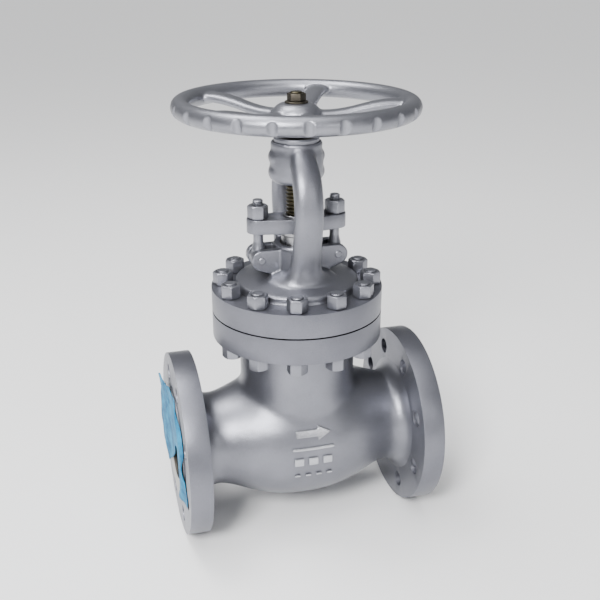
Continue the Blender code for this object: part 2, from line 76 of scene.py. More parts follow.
YOKE_BORE_R, YOKE_BOTTOM, YOKE_TOP, HUB_LIP = 22.0, 363.0, 414.0, 416.8
BOSS_OUT, BOSS_DEEP, BOSS_WIDE = 27.5, 9.8, 16.0
BOSSES = ((396.5, 11.0), (376.5, 12.0))      # height of the middle, half-height
EYE_X, EYE_Z, EYE_R = 52.5, 264.0, 12.0
EAR_R, EAR_INNER, EAR_OUTER = 13.5, 9.0, 20.0
EYEBOLT_R, EYEBOLT_TOP = 7.0, span("eyebolt_left", 2)[1]
BAR_LOW, BAR_HIGH = span("gland_flange", 2)
STEM_R = 14.0
STEM_SQUARE, STEM_SQUARE_LONG, STEM_SQUARE_Z = 18.0, 35.0, 441.0
STEM_TIP = span("stem", 2)[1]
WHEEL_R = span("handwheel", 0)[1]
WHEEL_Z, RIM_R, RIM_HALF_H = 461.3, 12.0, 12.2
HUB_BOTTOM, HUB_TOP = 424.3, 464.0
SPOKES, SPOKE_TURN = 5, 62.0
NOTCHES, NOTCH_TURN, NOTCH_R, NOTCH_DEEP = 24, 4.7, 7.0, 4.2
FILM_HALF, FILM_CELLS, FILM_T = 105.0, 84, 0.25


# --- mesh helpers ---
def piece(name, bm, *mats, sharp=32.0):
    """Makes an object of a bmesh, smooth but for edges sharper than `sharp` degrees."""
    mesh = bpy.data.meshes.new(name)
    bm.to_mesh(mesh)
    bm.free()
    ob = bpy.data.objects.new(name, mesh)
    bpy.context.scene.collection.objects.link(ob)
    for mat in mats:
        mesh.materials.append(mat)
    mesh.shade_smooth()
    mesh.set_sharp_from_angle(angle=math.radians(sharp))
    return ob


def bake(ob):
    """Turns an object's modifiers into its mesh."""
    graph = bpy.context.evaluated_depsgraph_get()
    mats = list(ob.data.materials)
    mesh = bpy.data.meshes.new_from_object(ob.evaluated_get(graph))
    ob.modifiers.clear()
    ob.data = mesh
    mesh.materials.clear()
    for mat in mats:
        mesh.materials.append(mat)
    return ob


def boolean(ob, tools, operation="DIFFERENCE"):
    """Cuts, joins or intersects with tool objects, which are then removed."""
    for tool in tools:
        mod = ob.modifiers.new("Shape", "BOOLEAN")
        mod.object = tool
        mod.operation = operation
        mod.solver = "EXACT"
    bake(ob)
    for tool in tools:
        bpy.data.objects.remove(tool, do_unlink=True)
    return ob


def soften(ob, width, segments=2, angle=30.0, sharp=32.0):
    """Rounds every edge sharper than `angle` degrees by `width` millimetres."""
    bm = bmesh.new()
    bm.from_mesh(ob.data)
    bmesh.ops.remove_doubles(bm, verts=bm.verts, dist=0.00002)
    edges = [e for e in bm.edges
             if e.is_manifold and e.calc_face_angle(0.0) > math.radians(angle)]
    bmesh.ops.bevel(bm, geom=edges, offset=width * MM, offset_type="OFFSET", affect="EDGES",
                    segments=segments, profile=0.5, material=-1, clamp_overlap=True,
                    loop_slide=True)
    bm.to_mesh(ob.data)
    bm.free()
    ob.data.shade_smooth()
    ob.data.set_sharp_from_angle(angle=math.radians(sharp))
    return ob


def cast(ob, voxel, passes):
    """Melts a rough union into one casting: an even skin, then smoothed into fillets."""
    remesh = ob.modifiers.new("Skin", "REMESH")
    remesh.mode = "VOXEL"
    remesh.voxel_size = voxel * MM
    smooth = ob.modifiers.new("Fillets", "SMOOTH")
    smooth.factor = 0.5
    smooth.iterations = passes
    bake(ob)
    ob.data.shade_smooth()
    return ob


def melt(ob, passes, weight):
    """Smooths an object further where weight(x, y, z), with the place in mm, is above nought."""
    group = ob.vertex_groups.new(name="melt")
    for vert in ob.data.vertices:
        amount = weight(*(vert.co / MM))
        if amount > 0.02:
            group.add([vert.index], min(amount, 1.0), "REPLACE")
    smooth = ob.modifiers.new("Melt", "SMOOTH")
    smooth.factor = 0.5
    smooth.iterations = passes
    smooth.vertex_group = group.name
    bake(ob)
    ob.vertex_groups.clear()
    ob.data.shade_smooth()
    return ob


def turned(profile, steps=96, ring=False, along_x=False):
    """A bmesh turned from (radius, height) points about Z, or about X."""
    bm = bmesh.new()
    verts = [bm.verts.new((r * MM, 0.0, h * MM)) for r, h in profile]
    edges = [bm.edges.new(pair) for pair in zip(verts, verts[1:])]
    if ring:
        edges.append(bm.edges.new((verts[-1], verts[0])))
    bmesh.ops.spin(bm, geom=verts + edges, cent=(0, 0, 0), axis=(0, 0, 1), dvec=(0, 0, 0),
                   angle=TAU, steps=steps, use_merge=True)
    bmesh.ops.remove_doubles(bm, verts=bm.verts, dist=0.000002)
    bmesh.ops.dissolve_degenerate(bm, edges=bm.edges, dist=0.000001)
    bmesh.ops.recalc_face_normals(bm, faces=bm.faces)
    if along_x:
        bmesh.ops.rotate(bm, verts=bm.verts, cent=(0, 0, 0),
                         matrix=Matrix.Rotation(math.pi / 2, 3, "Y"))
    return bm


AXIS_TURN = {"X": Matrix.Rotation(math.pi / 2, 4, "Y"), "Y": Matrix.Rotation(math.pi / 2, 4, "X"),
             "Z": Matrix.Identity(4)}


def rod(bm, radius, length, middle, axis="Z", sides=48):
    """Adds a closed cylinder to a bmesh."""
    bmesh.ops.create_cone(
        bm, cap_ends=True, segments=sides, radius1=radius * MM, radius2=radius * MM,
        depth=length * MM, matrix=Matrix.Translation(Vector(middle) * MM) @ AXIS_TURN[axis])


def rods(name, radius, length, middles, axis="Z", sides=48):
    """Several closed cylinders as one object, mostly to cut with."""
    bm = bmesh.new()
    for middle in middles:
        rod(bm, radius, length, middle, axis, sides)
    return piece(name, bm)


def slab(name, outline, low, high, upright=True):
    """A plate: an outline of (x, z) points extruded along Y, or of (x, y) points along Z."""
    way = Vector((0.0, 1.0, 0.0)) if upright else Vector((0.0, 0.0, 1.0))
    bm = bmesh.new()
    face = bm.faces.new([bm.verts.new((Vector((a, 0, b) if upright else (a, b, 0)) + way * low)
                                      * MM) for a, b in outline])
    grown = bmesh.ops.extrude_face_region(bm, geom=[face])["geom"]
    bmesh.ops.translate(bm, vec=way * (high - low) * MM,
                        verts=[g for g in grown if isinstance(g, bmesh.types.BMVert)])
    bmesh.ops.recalc_face_normals(bm, faces=bm.faces)
    return piece(name, bm)


def swept(stations):
    """A bmesh skinned over oval rings. A station is centre, half-width vector, half-height
    vector; the ends are closed."""
    bm = bmesh.new()
    last = None
    for centre, wide, high in stations:
        made = bmesh.ops.create_circle(bm, cap_ends=False, segments=28, radius=1.0)["verts"]
        for vert in made:
            c, s = vert.co.x, vert.co.y
            c = math.copysign(abs(c) ** 0.86, c)
            s = math.copysign(abs(s) ** 0.86, s)
            vert.co = (Vector(centre) + Vector(wide) * c + Vector(high) * s) * MM
        edges = list({e for v in made for e in v.link_edges if e.is_wire})
        if last:
            bmesh.ops.bridge_loops(bm, edges=last + edges)
        last = edges
    rims = [e for e in bm.edges if e.is_boundary]
    bmesh.ops.holes_fill(bm, edges=rims, sides=0)
    bmesh.ops.recalc_face_normals(bm, faces=bm.faces)
    return bm


def spline(points, count):
    """Evenly stepped points on a smooth curve through tuples of numbers."""
    pts = [points[0]] + list(points) + [points[-1]]
    out = []
    for i in range(count + 1):
        u = i / count * (len(points) - 1)
        k = min(int(u), len(points) - 2)
        t = u - k
        a, b, c, d = pts[k:k + 4]
        out.append(tuple(
            0.5 * (2 * q + (r - p) * t + (2 * p - 5 * q + 4 * r - s) * t * t
                   + (3 * q - p - 3 * r + s) * t ** 3) for p, q, r, s in zip(a, b, c, d)))
    return out


def thread(radius, depth, pitch, low, high, crest=0.3, steps=36, chamfer=(True, True)):
    """A bmesh of a screw thread about Z: one pitch of profile wound up the helix."""
    bm = bmesh.new()
    turns = int((high - low) / pitch) + 4
    flank = (1.0 - 2 * crest) / 2
    verts = []
    for i in range(turns):
        z = low + (i - 2) * pitch
        for r, part in ((radius - depth, 0.0), (radius - depth, crest),
                        (radius, crest + flank), (radius, 2 * crest + flank)):
            verts.append(bm.verts.new((r * MM, 0.0, (z + part * pitch) * MM)))
    edges = [bm.edges.new(pair) for pair in zip(verts, verts[1:])]
    bmesh.ops.spin(bm, geom=verts + edges, cent=(0, 0, 0), axis=(0, 0, 1),
                   dvec=(0, 0, pitch * MM / steps), angle=TAU, steps=steps, use_merge=False)
    bmesh.ops.remove_doubles(bm, verts=bm.verts, dist=0.00001)
    for z, up in ((low, -1), (high, 1)):
        bmesh.ops.bisect_plane(bm, geom=bm.verts[:] + bm.edges[:] + bm.faces[:], dist=0.000001,
                               plane_co=(0, 0, z * MM), plane_no=(0, 0, up), clear_outer=True)
        rim = [e for e in bm.edges if e.is_boundary and
               all(abs(v.co.z - z * MM) < 0.00001 for v in e.verts)]
        bmesh.ops.holes_fill(bm, edges=rim, sides=0)
    for vert in bm.verts:
        z = vert.co.z / MM
        r = math.hypot(vert.co.x, vert.co.y) / MM
        inset = min(z - low if chamfer[0] else 1e3, high - z if chamfer[1] else 1e3)
        most = radius - depth + max(inset, 0.0)
        if r > most:
            vert.co.x *= most / r
            vert.co.y *= most / r
    bmesh.ops.recalc_face_normals(bm, faces=bm.faces)
    return bm


def merge_in(bm, other, matrix=None):
    """Adds another bmesh to this one, and frees it."""
    mesh = bpy.data.meshes.new("part")
    other.to_mesh(mesh)
    other.free()
    if matrix is not None:
        mesh.transform(matrix)
    bm.from_mesh(mesh)
    bpy.data.meshes.remove(mesh)
    return bm


def place(name, source, matrix, *mats):
    """A copy of a mesh, moved into place."""
    mesh = source.copy()
    mesh.transform(matrix)
    mesh.name = name
    ob = bpy.data.objects.new(name, mesh)
    bpy.context.scene.collection.objects.link(ob)
    mesh.materials.clear()
    for mat in mats:
        mesh.materials.append(mat)
    return ob


def ring_spots(count, radius, first=0.5):
    """Even places on a circle, the first half a step round so that holes straddle the axes."""
    for k in range(count):
        a = TAU * (k + first) / count
        yield radius * math.cos(a), radius * math.sin(a)


def stands_for(ob, body, slot, *nodes):
    """Puts a piece on its body, in place of the solids it stands for; the slot argument is not used.
    """
    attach(ob, body)
    if nodes:
        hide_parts(*nodes)
    return ob


# --- camera ---
camera_data = bpy.data.cameras.new("camera")
camera_data.sensor_width = 36.0
camera_data.lens = 52.73
camera = bpy.data.objects.new("camera", camera_data)
bpy.context.scene.collection.objects.link(camera)
camera.location = (-0.2985, -1.0785, 0.6454)
camera.rotation_euler = (math.radians(90.0 - 21.87), 0.0, math.radians(-15.70))
bpy.context.scene.camera = camera


# --- materials ---
def srgb(code):
    """Linear colour of an sRGB hex value."""
    parts = [int(code[i:i + 2], 16) / 255 for i in (1, 3, 5)]
    return (*(c / 12.92 if c <= 0.04045 else ((c + 0.055) / 1.055) ** 2.4 for c in parts), 1.0)


def add_node(tree, kind, inputs=None, **settings):
    """Adds a node. Inputs are values, or (node, output) pairs to link."""
    node = tree.nodes.new(kind)
    for key, value in settings.items():
        setattr(node, key, value)
    for key, value in (inputs or {}).items():
        socket = node.inputs[key]
        if isinstance(value, tuple) and isinstance(value[0], bpy.types.Node):
            tree.links.new(value[0].outputs[value[1]], socket)
        else:
            socket.default_value = value
    return node


def new_material(name):
    """A material with its shader, its output and its coordinates; returns them to build on."""
    mat = bpy.data.materials.new(name)
    mat.use_nodes = True
    tree = mat.node_tree
    tree.nodes.clear()
    shader = add_node(tree, "ShaderNodeBsdfPrincipled")
    add_node(tree, "ShaderNodeOutputMaterial", {"Surface": (shader, "BSDF")})
    coords = add_node(tree, "ShaderNodeTexCoord")
    return mat, tree, shader, coords


def ring_lines(tree, coords, about, pitch):
    """Turned lines: noise that is long round an axis and short across it, `pitch` mm apart."""
    xyz = add_node(tree, "ShaderNodeSeparateXYZ", {0: (coords, "Object")})
    flat = {"X": ("Y", "Z", "X"), "Z": ("X", "Y", "Z")}[about]
    pair = add_node(tree, "ShaderNodeCombineXYZ", {"X": (xyz, flat[0]), "Y": (xyz, flat[1])})
    radius = add_node(tree, "ShaderNodeVectorMath", {0: (pair, "Vector")}, operation="LENGTH")
    both = add_node(tree, "ShaderNodeCombineXYZ", {"X": (radius, "Value"), "Y": (xyz, flat[2])})
    return add_node(tree, "ShaderNodeTexNoise", {
        "Vector": (both, "Vector"), "Scale": 1.0 / (pitch * MM), "Detail": 2.0,
        "Roughness": 0.6}, noise_dimensions="2D")


def paint(name, dark, light, roughness, grain, grain_size, metallic=0.72, lines=None, coat=0.0,
          lumps=0.35, corner_shade=0.6):
    """Aluminium-flake paint: grey with a metal gleam, over the surface that it covers."""
    mat, tree, shader, coords = new_material(name)
    # Thicker and thinner spray, in faint patches about 60 mm across.
    patches = add_node(tree, "ShaderNodeTexNoise", {
        "Vector": (coords, "Object"), "Scale": 17.0, "Detail": 3.0, "Roughness": 0.5})
    # Flakes: real ones are about 0.05 mm, drawn at 0.6 mm so that they show.
    flakes = add_node(tree, "ShaderNodeTexNoise", {
        "Vector": (coords, "Object"), "Scale": 1700.0, "Detail": 2.0, "Roughness": 0.7})
    tone = add_node(tree, "ShaderNodeMath", {
        0: (flakes, "Fac"), 1: 1.6, 2: (patches, "Fac")}, operation="MULTIPLY_ADD")
    even = add_node(tree, "ShaderNodeMapRange", {
        "Value": (tone, "Value"), "From Min": 0.85, "From Max": 1.75})
    ramp = add_node(tree, "ShaderNodeValToRGB", {"Fac": (even, "Result")})
    ramp.color_ramp.elements[0].color = srgb(dark)
    ramp.color_ramp.elements[1].color = srgb(light)
    # Painted shade: ambient occlusion darkens the paint colour in inside corners and recesses.
    occlusion = add_node(tree, "ShaderNodeAmbientOcclusion", {"Distance": 0.009}, samples=6,
                       only_local=False)
    shade_amount = add_node(tree, "ShaderNodeMapRange", {
        "Value": (occlusion, "AO"), "From Min": 0.2, "From Max": 0.85, "To Min": corner_shade,
        "To Max": 1.0})
    shaded_colour = add_node(tree, "ShaderNodeMix", {0: 1.0, 6: (ramp, "Color"), 7: (shade_amount, "Result")},
                      data_type="RGBA", blend_type="MULTIPLY")
    tree.links.new(shaded_colour.outputs[2], shader.inputs["Base Color"])
    shader.inputs["Metallic"].default_value = metallic
    spread = add_node(tree, "ShaderNodeMapRange", {
        "Value": (flakes, "Fac"), "From Min": 0.3, "From Max": 0.7,
        "To Min": roughness - 0.05, "To Max": roughness + 0.05})
    tree.links.new(spread.outputs["Result"], shader.inputs["Roughness"])
    if coat:
        shader.inputs["Coat Weight"].default_value = coat
        shader.inputs["Coat Roughness"].default_value = 0.2
    # Sand grain under the paint, then slow waves from the pattern and the spray.
    sand = add_node(tree, "ShaderNodeTexNoise", {
        "Vector": (coords, "Object"), "Scale": 1.0 / (grain_size * MM), "Detail": 3.0,
        "Roughness": 0.6})
    wave = add_node(tree, "ShaderNodeTexNoise", {
        "Vector": (coords, "Object"), "Scale": 60.0, "Detail": 2.0})
    slow = add_node(tree, "ShaderNodeBump", {"Height": (wave, "Fac"), "Strength": lumps,
                                             "Distance": 0.0007})
    fine = add_node(tree, "ShaderNodeBump", {"Height": (sand, "Fac"), "Strength": grain,
                                             "Distance": 0.0004, "Normal": (slow, "Normal")})
    last = fine
    if lines:
        about, pitch, depth = lines
        rings = ring_lines(tree, coords, about, pitch)
        last = add_node(tree, "ShaderNodeBump", {
            "Height": (rings, "Fac"), "Strength": depth, "Distance": 0.0003,
            "Normal": (fine, "Normal")})
    tree.links.new(last.outputs["Normal"], shader.inputs["Normal"])
    return mat


def bare_metal(name, dark, light, roughness, lines=None, patch=40.0, mottle=0.5, depth=0.35):
    """Unpainted steel: metal colour, mottled by oil or phosphate, with tool lines if turned."""
    mat, tree, shader, coords = new_material(name)
    cloud = add_node(tree, "ShaderNodeTexNoise", {
        "Vector": (coords, "Object"), "Scale": patch, "Detail": 5.0, "Roughness": 0.62})
    ramp = add_node(tree, "ShaderNodeValToRGB", {"Fac": (cloud, "Fac")})
    ramp.color_ramp.elements[0].position = 0.5 - mottle / 3
    ramp.color_ramp.elements[0].color = srgb(dark)
    ramp.color_ramp.elements[1].position = 0.5 + mottle / 3
    ramp.color_ramp.elements[1].color = srgb(light)
    tree.links.new(ramp.outputs["Color"], shader.inputs["Base Color"])
    shader.inputs["Metallic"].default_value = 1.0
    spread = add_node(tree, "ShaderNodeMapRange", {
        "Value": (cloud, "Fac"), "From Min": 0.3, "From Max": 0.7,
        "To Min": roughness - 0.07, "To Max": roughness + 0.1})
    tree.links.new(spread.outputs["Result"], shader.inputs["Roughness"])
    height = ring_lines(tree, coords, *lines) if lines else add_node(
        tree, "ShaderNodeTexNoise", {"Vector": (coords, "Object"), "Scale": 1400.0})
    bump = add_node(tree, "ShaderNodeBump", {
        "Height": (height, "Fac"), "Strength": depth, "Distance": 0.0003})
    tree.links.new(bump.outputs["Normal"], shader.inputs["Normal"])
    return mat


# Sand-cast steel under silver paint: a soft gleam broken by fine grain.
cast_paint = paint("aluminium paint on sand-cast steel", "#707178", "#8C8D95", 0.34, 0.7, 1.2,
                   metallic=0.86)
# Turned flange rims and faces, painted: even, with faint tool rings.
turned_paint_x = paint("aluminium paint on turned flange", "#66676F", "#82838B", 0.38, 0.45, 0.9,
                       metallic=0.84, lines=("X", 0.9, 0.5), lumps=0.06)
turned_paint_z = paint("aluminium paint on turned joint", "#66676F", "#82838B", 0.38, 0.45, 0.9,
                       metallic=0.84, lines=("Z", 0.9, 0.4), lumps=0.06)
# A second coat on the handwheel, a little glossier.
wheel_paint = paint("aluminium paint on wheel casting", "#76777E", "#95969D", 0.33, 0.75, 1.4,
                    metallic=0.85, coat=0.08, lumps=0.25)
# Paint over hot-forged nuts and studs.
nut_paint = paint("aluminium paint on forged nuts", "#74757D", "#94959C", 0.34, 0.4, 0.9,
                  metallic=0.84, lumps=0.15)
# The cast marks, in paint lightened as a painted highlight, with less painted shade in their
# corners.
mark_paint = paint("paint lightened as painted highlight on raised marks", "#A6A7AC", "#C4C5CA", 0.27, 0.3, 1.1,
                   metallic=0.9, lumps=0.1, corner_shade=0.9)
# A flange face has spiral tool grooves 0.8 mm apart, left bare and oiled.
serrated_face = bare_metal("serrated bare steel face", "#8C8A86", "#A5A4A1", 0.34,
                           lines=("X", 0.8), depth=0.8)
# The joint faces inside the gap: bare oiled steel, coloured near black as painted shade in the gap.
gap_shade_steel = bare_metal("bare joint face darkened as gap shade", "#1C1B1A", "#2B2927", 0.5, lines=("Z", 0.6))
# As-cast bore: dull brown-grey scale, blotched and rough.
bore_steel = bare_metal("bare cast bore", "#4C4844", "#6A6661", 0.55, mottle=0.6)
# Turned steel with fine rings that catch a bright line.
gland_steel = bare_metal("turned gland steel", "#8A8A8C", "#A6A6A8", 0.3, lines=("Z", 0.5))
# Stem under thread grease: a dark olive film with soft highlights.
stem_steel = bare_metal("oiled stem steel", "#3B382B", "#635D49", 0.34, lines=("Z", 0.4),
                        depth=0.15)
# Phosphated steel: matt brown-black crystals with no clear reflection.
phosphate = bare_metal("phosphated nut steel", "#35322B", "#57524A", 0.5, patch=160.0)
# Yoke nut: turned and oiled, warmer and duller than the trim.
yoke_nut_metal = bare_metal("oiled yoke nut", "#6E6A64", "#8B8680", 0.36, lines=("Z", 0.5))
# Seat, disc and bushing: finely machined stainless steel, the brightest metal here.
trim_steel = bare_metal("machined stainless trim", "#9A9A9A", "#B5B5B5", 0.25, lines=("Z", 0.4))


def graphite(name, colour, roughness):
    """Pressed or braided graphite: black grit."""
    mat, tree, shader, coords = new_material(name)
    grit = add_node(tree, "ShaderNodeTexNoise", {
        "Vector": (coords, "Object"), "Scale": 900.0, "Detail": 3.0})
    ramp = add_node(tree, "ShaderNodeValToRGB", {"Fac": (grit, "Fac")})
    ramp.color_ramp.elements[0].color = srgb("#060606")
    ramp.color_ramp.elements[1].color = srgb(colour)
    tree.links.new(ramp.outputs["Color"], shader.inputs["Base Color"])
    shader.inputs["Roughness"].default_value = roughness
    bump = add_node(tree, "ShaderNodeBump", {"Height": (grit, "Fac"), "Strength": 0.4,
                                             "Distance": 0.0003})
    tree.links.new(bump.outputs["Normal"], shader.inputs["Normal"])
    return mat


def plastic_film(name, thin, thick):
    """Thin blue film: paler where it is pulled flat, deeper in its creases. It is opaque."""
    mat, tree, shader, coords = new_material(name)
    creases = add_node(tree, "ShaderNodeTexNoise", {
        "Vector": (coords, "Object"), "Scale": 55.0, "Detail": 4.0, "Roughness": 0.6})
    ramp = add_node(tree, "ShaderNodeValToRGB", {"Fac": (creases, "Fac")})
    ramp.color_ramp.elements[0].position = 0.35
    ramp.color_ramp.elements[0].color = srgb(thick)
    ramp.color_ramp.elements[1].position = 0.7
    ramp.color_ramp.elements[1].color = srgb(thin)
    tree.links.new(ramp.outputs["Color"], shader.inputs["Base Color"])
    shader.inputs["Roughness"].default_value = 0.55
    shader.inputs["Specular IOR Level"].default_value = 0.12
    puckers = add_node(tree, "ShaderNodeTexNoise", {
        "Vector": (coords, "Object"), "Scale": 160.0, "Detail": 3.0})
    bump = add_node(tree, "ShaderNodeBump", {"Height": (puckers, "Fac"), "Strength": 0.5,
                                             "Distance": 0.0015})
    tree.links.new(bump.outputs["Normal"], shader.inputs["Normal"])
    return mat


# Stretched polythene film on the flange face, a strong blue that pales where it is pulled thin.
film_plastic = plastic_film("blue polythene film", "#3391B8", "#12567C")
# Pressed graphite: near black with a faint dry gleam.
gasket_graphite = graphite("graphite gasket", "#1A1A1C", 0.7)
packing_graphite = graphite("braided graphite packing", "#232326", 0.6)


# --- body ---
def skin(x, peak=None, foot=None):
    """Radius of the casting at x along the pipe, from the pipe neck up to the belly."""
    peak, foot = peak or BELLY_R, foot or PIPE_NECK_R
    t = min(abs(x) / BELLY_HALF, 1.0)
    return foot + (peak - foot) * (1 - t ** 2.6) ** 1.9


def belly(peak, foot, count):
    """Profile points from the pipe neck to the middle."""
    for i in range(count + 1):
        x = BELLY_HALF * (1 - i / count)
        yield skin(x, peak, foot), x


def both_ways(half):
    """A profile followed by its mirror image."""
    half = list(half)
    return half + [(r, -x) for r, x in reversed(half[:-1])]


BACK = FACE - FLANGE_T


def body_casting():
    """Pipe necks, belly, upright neck and the bridge inside, run together as one casting."""
    end = BACK + 12
    outside = both_ways([(0.0, end), (PIPE_NECK_R + 34, end), (PIPE_NECK_R + 32, BACK + 5),
                         (PIPE_NECK_R + 20, BACK + 0.8), (PIPE_NECK_R + 12, BACK - 1.8),
                         (PIPE_NECK_R + 6.5, BACK - 5), (PIPE_NECK_R + 2.6, BACK - 10),
                         (PIPE_NECK_R + 0.6, BACK - 16)]
                        + list(belly(BELLY_R, PIPE_NECK_R, 24)))
    bm = turned(outside, 96, along_x=True)
    # The top of the outlet side stays full for longer, as the flow comes down from the neck.
    for vert in bm.verts:
        x, y, z = vert.co / MM
        if 0 < x < BACK - 20 and z > 0:
            r = math.hypot(y, z)
            full = skin(x * BELLY_HALF / (BELLY_HALF + OUTLET_SWELL * (z / r) ** 2)) / skin(x)
            vert.co.y *= full
            vert.co.z *= full
    ob = piece("body_casting", bm, cast_paint, bore_steel)
    neck = piece("neck", turned([
        (0.0, BODY_UNDER + 12), (NECK_R + 16, BODY_UNDER + 12), (NECK_R + 15, BODY_UNDER + 3),
        (NECK_R + 9, BODY_UNDER - 0.6), (NECK_R + 4, BODY_UNDER - 3.5),
        (NECK_R + 1.2, BODY_UNDER - 9), (NECK_R, BODY_UNDER - 15), (NECK_R, 15.0),
        (0.0, 15.0)], 96))
    boolean(ob, [neck], "UNION")
    inner = BELLY_R - WALL
    passage = piece("passage", turned(both_ways(
        [(0.0, FACE + 10), (BORE_R + 0.4, FACE + 10)] + list(belly(inner, BORE_R + 0.4, 12))),
        64, along_x=True))
    neck_bore = rods("neck_bore", NECK_BORE_R, 200.0, [(0, 0, 100.0)], sides=80)
    boolean(ob, [passage, neck_bore])
    # The bridge is S-shaped: down on the outlet side, across under the stem, up on the inlet side.
    low, high, reach = BRIDGE_LOW, BRIDGE_HIGH, BRIDGE_REACH
    into = NECK_BORE_R + 1.0
    out = into + BRIDGE_T
    bridge = slab("bridge", [(-out, low), (into, low), (into, -reach), (out, -reach),
                             (out, high), (-into, high), (-into, reach), (-out, reach)],
                  -reach, reach)
    core = piece("core", turned(both_ways(
        [(0.0, FACE - 30), (BORE_R + 6, FACE - 30)] + list(belly(inner + 6, BORE_R + 6, 12))),
        64, along_x=True))
    boolean(bridge, [core], "INTERSECT")
    boolean(ob, [bridge], "UNION")
    seat_bore = rods("seat_bore", SEAT_BORE_R, high - low + 12.0, [(0, 0, (low + high) / 2)],
                     sides=80)
    boolean(ob, [seat_bore])
    cast(ob, 2.2, 14)
    # The moulder's wide radius where the upright neck meets the belly.
    melt(ob, 220, lambda x, y, z: 0.0 if z < 0 else (0.3 + 0.7 * min(abs(y) / 55.0, 1.0))
         * math.exp(-((math.hypot(x, y) - NECK_R) ** 2 + (math.hypot(y, z) - skin(x)) ** 2)
                    / 24.0 ** 2))
    # The passages are bare metal, the outside is painted.
    for poly in ob.data.polygons:
        x, y, z = poly.center / MM
        r, stem_r = math.hypot(y, z), math.hypot(x, y)
        inside = r < skin(x) - 7 and (stem_r < NECK_R - 7 or abs(x) > 80)
        if z > 60 and NECK_R - 7 < stem_r < NECK_R + 40:
            inside = False
        poly.material_index = int(inside)
    return stands_for(ob, "valve_body", "cast_paint", "body")


def pipe_flange(side):
    """An end flange: painted rim and back, bare grooved face, eight plain holes."""
    name = "inlet_flange_ring" if side < 0 else "outlet_flange_ring"
    profile = [(BORE_R, FACE), (RAISED_R, FACE), (RAISED_R, FACE - RAISED_H),
               (FLANGE_R, FACE - RAISED_H), (FLANGE_R, BACK), (BORE_R, BACK)]
    ob = piece(name, turned(profile, 160, ring=True, along_x=True), turned_paint_x,
               serrated_face, bore_steel)
    spots = [(FACE - FLANGE_T / 2, y, z) for y, z in ring_spots(8, PIPE_BOLT_PITCH_R)]
    boolean(ob, [rods("bolt_holes", PIPE_BOLT_HOLE_R, 60.0, spots, "X", 40)])
    soften(ob, 1.0, 3)
    if side < 0:
        ob.data.transform(Matrix.Rotation(math.pi, 4, "Z"))
    for poly in ob.data.polygons:
        x, y, z = poly.center / MM
        r = math.hypot(y, z)
        poly.material_index = 1 if abs(x) > FACE - 0.4 else (2 if r < BORE_R + 0.3 else 0)
    return stands_for(ob, "valve_body", "cast_paint", "body")


def joint_flange(name, low, high, node):
    """One of the two round flanges that the bonnet studs pull together."""
    profile = [(NECK_BORE_R, high), (JOINT_R, high), (JOINT_R, low), (NECK_BORE_R, low)]
    ob = piece(name, turned(profile, 160, ring=True), turned_paint_z, gap_shade_steel)
    spots = [(x, y, (low + high) / 2) for x, y in ring_spots(12, STUD_PITCH_R)]
    boolean(ob, [rods("stud_holes", STUD_HOLE_R, 60.0, spots, "Z", 32)])
    soften(ob, 0.7, 3)
    # The faces that the gasket parts are bare, and coloured near black as painted shade in the gap.
    for poly in ob.data.polygons:
        z = poly.center.z / MM
        if BODY_TOP - 0.6 < z < BONNET_BASE + 0.9:
            poly.material_index = 1
    return stands_for(ob, "valve_body", "cast_paint", node)


def cast_marks(casting):
    """A raised flow arrow, a bar, three blank tablets and four dashes on the front of the belly."""
    mesh = casting.data
    tree = BVHTree.FromPolygons([v.co for v in mesh.vertices],
                                [p.vertices for p in mesh.polygons])
    shapes = [[(-25, 41), (5, 41), (5, 46), (24, 36.5), (5, 27), (5, 32), (-25, 32)],
              [(-31, 18), (27, 18), (27, 14.4), (-31, 14.4)]]
    shapes += [[(x, 3), (x + 13, 3), (x + 13, -8), (x, -8)] for x in (-29, -9, 11)]
    shapes += [[(x, -24), (x + 8, -24), (x + 8, -27), (x, -27)] for x in (-28, -13, 2, 17)]
    for k, outline in enumerate(shapes):
        ob = slab(f"cast_mark_{k + 1}", outline, -2.7, 3.0)
        cast(ob, 0.6, 6)
        # Each stands on the casting's own surface.
        for vert in ob.data.vertices:
            hit = tree.ray_cast(Vector((vert.co.x, -0.3, vert.co.z)), Vector((0, 1, 0)))[0]
            vert.co.y += hit.y
        ob.data.materials.append(mark_paint)
        stands_for(ob, "valve_body", "cast_paint", "body")


# --- bonnet and yoke ---
def yoke_arm(side):
    """One arm: a broad foot on the dome, a bowed oval bar, and an end that runs into the hub."""
    path = [(31, 224, 38, 27), (35, 234, 29, 20), (39, 242, 15, 11.5), (42.4, 251, 4.5, 4),
            (45.6, 263, 0, 0.6), (51.5, 288, -1.2, 0), (57, 314, -1.2, 0), (59, 334, -1.2, 0),
            (57.2, 352, -1.2, 0), (51.5, 369, -1.2, 0.4), (43, 384, -1.6, 0.2), (33, 397, -3.5, -1),
            (24, 406, -7, -3)]
    points = spline(path, 44)
    stations = []
    for i, (y, z, wide, thick) in enumerate(points):
        y0, z0 = points[max(i - 1, 0)][:2]
        y1, z1 = points[min(i + 1, len(points) - 1)][:2]
        run = Vector((0.0, side * (y1 - y0), z1 - z0)).normalized()
        across = run.cross(Vector((1.0, 0.0, 0.0)))
        stations.append(((0.0, side * y, z), (20.0 + wide, 0.0, 0.0), across * (12.5 + thick)))
    return piece("arm", swept(stations))


